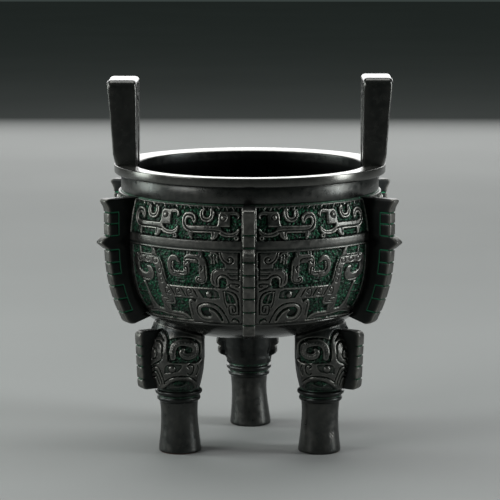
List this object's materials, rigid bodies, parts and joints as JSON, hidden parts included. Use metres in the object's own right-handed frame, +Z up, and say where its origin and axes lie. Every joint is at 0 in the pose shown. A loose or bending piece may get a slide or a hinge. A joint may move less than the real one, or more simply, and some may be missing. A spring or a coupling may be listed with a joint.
{
  "type": "bronze ding vessel",
  "caption": "Round open bronze vessel in ancient ritual style: deep bowl with relief friezes and notched flanges, upright loop handles, and legs with monster masks.",
  "frame": {"origin": "on the floor under the middle of the bowl, level with the undersides of the feet", "axes": "+Z up, -Y towards the front, which is the flange between two legs; the handles stand on the +X and -X sides"},
  "size_m": [0.187, 0.2118, 0.2336],
  "materials": {
    "bronze": "dark patinated cast bronze, semi-gloss, green in the recesses"
  },
  "bodies": {
    "root": {"ding_vessel": "bronze"}
  },
  "joints": []
}
